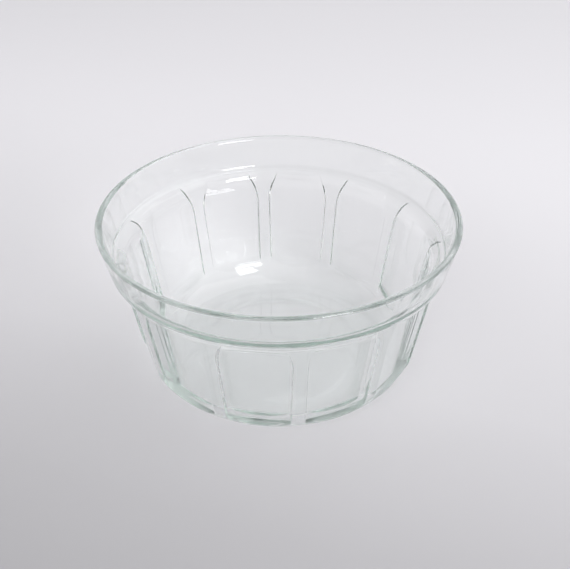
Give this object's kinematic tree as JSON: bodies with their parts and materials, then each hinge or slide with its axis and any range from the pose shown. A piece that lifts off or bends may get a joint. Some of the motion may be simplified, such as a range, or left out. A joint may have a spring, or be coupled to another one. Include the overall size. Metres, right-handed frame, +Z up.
{
  "type": "salad bowl",
  "caption": "Clear pressed-glass salad bowl: a plain flared rim band over a sloped ledge, and a tapered body of flat panels parted by narrow upright ribs, for serving food at the table.",
  "frame": {"origin": "on the table plane under the middle of the bowl, at the centre of its foot ring", "axes": "+Z up through the mouth along the axis of the bowl, +X through the middle of a rib, +Y completes the right hand"},
  "size_m": [0.23, 0.23, 0.112],
  "materials": {
    "clear_glass": "fire-polished, clear, faint green-grey tint"
  },
  "bodies": {
    "root": {"glass_bowl": "clear_glass"}
  },
  "joints": []
}
